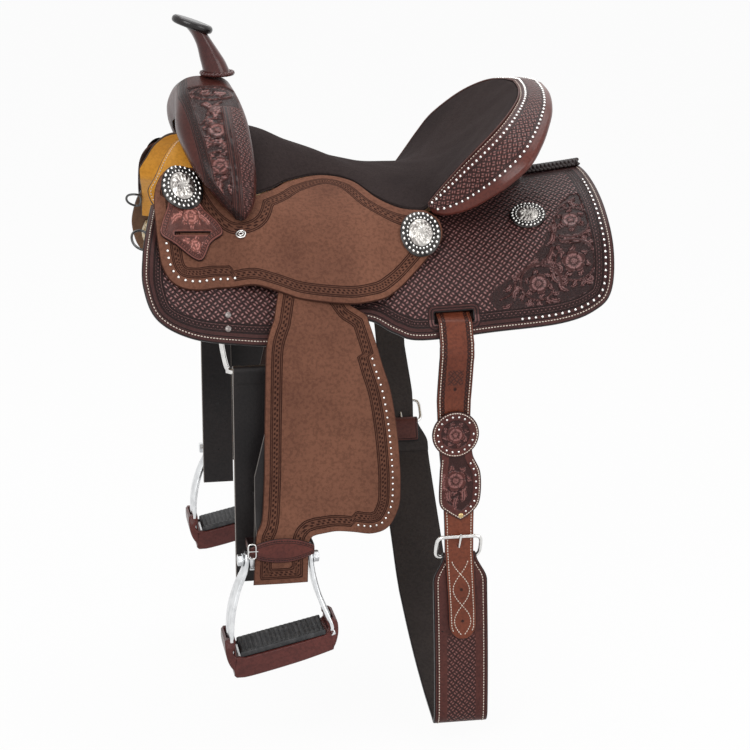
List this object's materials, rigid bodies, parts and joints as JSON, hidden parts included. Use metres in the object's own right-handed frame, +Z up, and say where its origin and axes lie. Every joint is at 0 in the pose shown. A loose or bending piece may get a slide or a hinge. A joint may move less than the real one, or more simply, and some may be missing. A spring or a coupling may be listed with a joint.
{
  "type": "barrel racing saddle",
  "caption": "Western barrel racing saddle with tooled leather, suede seat, tall horn, hanging fenders and stirrups, latigos and a rear billet and cinch.",
  "frame": {"origin": "on the middle plane, half way along the skirts, just under the seat's lowest point", "axes": "+X towards the cantle, so the horn points to -X; +Y towards the off (right) side; +Z up"},
  "size_m": [0.6399, 0.563, 0.9455],
  "materials": {
    "dark_leather": "basket-stamped, oiled",
    "roughout": "roughout",
    "red_leather": "tooled, glossy",
    "chestnut": "tooled, stitched",
    "black_leather": "smooth, oiled",
    "suede": "suede",
    "golden_lining": "smooth, light",
    "wool": "fleece",
    "wood": "raw",
    "silver": "engraved, beaded",
    "nickel": "polished",
    "aluminium": "brushed",
    "black_wire": "black",
    "pad_rubber": "ribbed, matt"
  },
  "bodies": {
    "saddle": {"tree_bar_near": "wood", "tree_bar_off": "wood", "fork": "wood", "fork_cover": "red_leather", "gullet_liner": "golden_lining", "horn_neck": "red_leather", "horn_cap": "black_leather", "cantle_board": "wood", "cantle_roll": "red_leather", "cantle_back": "dark_leather", "ground_seat": "wood", "seat_cover": "suede", "skirt_lacing": "black_leather", "near_skirt": "dark_leather", "near_fleece": "wool", "near_jockey": "roughout", "near_rope_keeper": "red_leather", "near_front_concho": "silver", "near_rear_concho": "silver", "near_skirt_concho": "silver", "near_rigging_dee": "nickel", "near_billet_top": "chestnut", "off_skirt": "dark_leather", "off_fleece": "wool", "off_jockey": "roughout", "off_rope_keeper": "red_leather", "off_front_concho": "silver", "off_rear_concho": "silver", "off_skirt_concho": "silver", "off_rigging_dee": "nickel", "off_billet_top": "chestnut"},
    "near_leather": {"near_leather_top": "black_leather"},
    "near_fender": {"near_fender": "roughout", "near_stirrup_leather": "black_leather", "near_hobble_strap": "red_leather"},
    "near_stirrup": {"near_stirrup_frame": "aluminium", "near_stirrup_bolt": "aluminium", "near_tread_leather": "red_leather", "near_tread_pad": "pad_rubber"},
    "near_latigo": {"near_latigo": "black_leather"},
    "near_breast_dee": {"near_breast_dee": "black_wire"},
    "off_leather": {"off_leather_top": "black_leather"},
    "off_fender": {"off_fender": "roughout", "off_stirrup_leather": "black_leather", "off_hobble_strap": "red_leather"},
    "off_stirrup": {"off_stirrup_frame": "aluminium", "off_stirrup_bolt": "aluminium", "off_tread_leather": "red_leather", "off_tread_pad": "pad_rubber"},
    "off_latigo": {"off_latigo": "black_leather"},
    "off_breast_dee": {"off_breast_dee": "black_wire"},
    "cinch": {"near_billet": "chestnut", "off_billet": "chestnut", "cinch": "red_leather", "near_billet_safe": "red_leather", "near_cinch_buckle": "nickel", "off_cinch_buckle": "nickel"},
    "near_tongue": {"near_cinch_tongue": "nickel"},
    "off_tongue": {"off_cinch_tongue": "nickel"}
  },
  "joints": [
    {"name": "near_fender_swing", "type": "hinge", "parent": "saddle", "child": "near_leather", "pos_m": [-0.14, -0.21196, -0.07502], "axis": [0, 0.9659, -0.2588], "range_deg": [-10, 10]},
    {"name": "near_fender_lift", "type": "hinge", "parent": "near_leather", "child": "near_fender", "pos_m": [-0.14, -0.22435, -0.097], "axis": [-0.9994, -0.0341, 0], "range_deg": [0, 70]},
    {"name": "near_stirrup_swing", "type": "hinge", "parent": "near_fender", "child": "near_stirrup", "pos_m": [-0.17, -0.2505, -0.413], "axis": [-1, 0, 0], "range_deg": [-15, 45]},
    {"name": "near_latigo_swing", "type": "hinge", "parent": "saddle", "child": "near_latigo", "pos_m": [-0.2025, -0.21301, -0.16745], "axis": [1, 0, 0], "range_deg": [0, 35]},
    {"name": "near_breast_dee_swing", "type": "hinge", "parent": "saddle", "child": "near_breast_dee", "pos_m": [-0.3255, -0.14317, -0.00559], "axis": [0, 0.7875, 0.6163], "range_deg": [-10, 30]},
    {"name": "off_fender_swing", "type": "hinge", "parent": "saddle", "child": "off_leather", "pos_m": [-0.14, 0.21196, -0.07502], "axis": [0, 0.9659, 0.2588], "range_deg": [-10, 10]},
    {"name": "off_fender_lift", "type": "hinge", "parent": "off_leather", "child": "off_fender", "pos_m": [-0.14, 0.22435, -0.097], "axis": [0.9994, -0.0341, 0], "range_deg": [0, 70]},
    {"name": "off_stirrup_swing", "type": "hinge", "parent": "off_fender", "child": "off_stirrup", "pos_m": [-0.17, 0.2505, -0.413], "axis": [1, 0, 0], "range_deg": [-15, 45]},
    {"name": "off_latigo_swing", "type": "hinge", "parent": "saddle", "child": "off_latigo", "pos_m": [-0.2025, 0.21301, -0.16745], "axis": [-1, 0, 0], "range_deg": [0, 35]},
    {"name": "off_breast_dee_swing", "type": "hinge", "parent": "saddle", "child": "off_breast_dee", "pos_m": [-0.313, 0.14317, -0.00799], "axis": [0, 0.7875, -0.6163], "range_deg": [-10, 30]},
    {"name": "cinch_swing", "type": "hinge", "parent": "saddle", "child": "cinch", "pos_m": [0.0675, 0, -0.16298], "axis": [0, 1, 0], "range_deg": [-20, 10]},
    {"name": "near_tongue_turn", "type": "hinge", "parent": "cinch", "child": "near_tongue", "pos_m": [0.071, -0.23056, -0.43348], "axis": [1, 0, 0], "range_deg": [0, 10]},
    {"name": "off_tongue_turn", "type": "hinge", "parent": "cinch", "child": "off_tongue", "pos_m": [0.071, 0.17081, -0.36335], "axis": [-1, 0, 0], "range_deg": [0, 10]}
  ]
}
